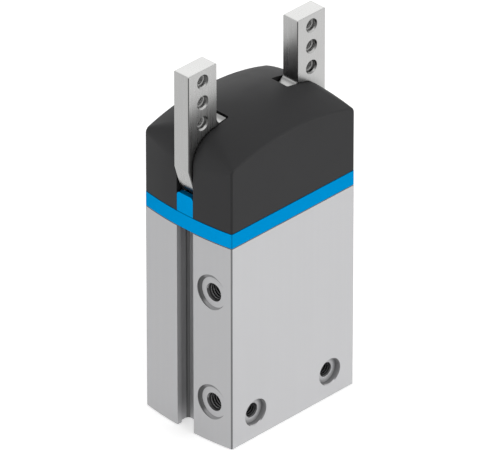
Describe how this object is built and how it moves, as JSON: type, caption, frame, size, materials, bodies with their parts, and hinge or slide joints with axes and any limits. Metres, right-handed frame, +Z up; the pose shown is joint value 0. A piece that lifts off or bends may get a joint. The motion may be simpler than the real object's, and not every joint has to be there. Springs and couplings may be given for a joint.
{
  "type": "angular gripper",
  "caption": "Pneumatic angular gripper: a piston lifts a pin in the slots of crossed levers, so a pair of jaws swings open under a domed cover.",
  "frame": {"origin": "middle of the housing's base, on the plane that the gripper stands on", "axes": "+Z up along the piston's axis towards the jaws; +Y away from the broad front face with the mounting holes; X is the way the jaws open, with the air ports on the narrow face at -X"},
  "size_m": [0.048, 0.03, 0.1032],
  "materials": {
    "housing": "satin anodised",
    "band": "fine matt moulded",
    "cover": "fine eroded moulded",
    "jaw_steel": "ground",
    "pin_steel": "hardened and ground",
    "rod_steel": "polished",
    "piston": "turned",
    "seal": "matt",
    "guide": "smooth",
    "magnet": "plastic-bonded ferrite",
    "bronze": "sintered bronze",
    "buffer": "matt",
    "clip": "phosphated spring steel"
  },
  "bodies": {
    "body": {"housing": "housing", "accent_band": "band", "cover_cap": "cover", "left_pivot_pin": "pin_steel", "right_pivot_pin": "pin_steel", "rod_bush": "bronze", "rod_seal": "seal", "seal_retainer": "pin_steel", "upper_buffer": "buffer", "lower_buffer": "buffer", "end_cap": "piston", "end_cap_seal": "seal", "end_cap_ring": "clip"},
    "piston_set": {"piston_rod": "rod_steel", "piston": "piston", "piston_screw": "pin_steel", "drive_pin": "pin_steel", "upper_piston_seal": "seal", "lower_piston_seal": "seal", "wear_ring": "guide", "magnet_ring": "magnet"},
    "left_jaw": {"left_jaw": "jaw_steel"},
    "right_jaw": {"right_jaw": "jaw_steel"}
  },
  "joints": [
    {"name": "piston_stroke", "type": "slide", "parent": "body", "child": "piston_set", "axis": [0, 0, 1], "range_m": [-0.0004, 0.004]},
    {"name": "left_jaw_swing", "type": "hinge", "parent": "body", "child": "left_jaw", "pos_m": [-0.016, 0, 0.073], "axis": [0, -1, 0], "range_deg": [-2, 20]},
    {"name": "right_jaw_swing", "type": "hinge", "parent": "body", "child": "right_jaw", "pos_m": [0.016, 0, 0.073], "axis": [0, 1, 0], "range_deg": [-2, 20]}
  ],
  "couplings": [
    {"joint": "left_jaw_swing", "follows": "piston_stroke", "rad_per_m": 87.266},
    {"joint": "right_jaw_swing", "follows": "piston_stroke", "rad_per_m": 87.266}
  ]
}
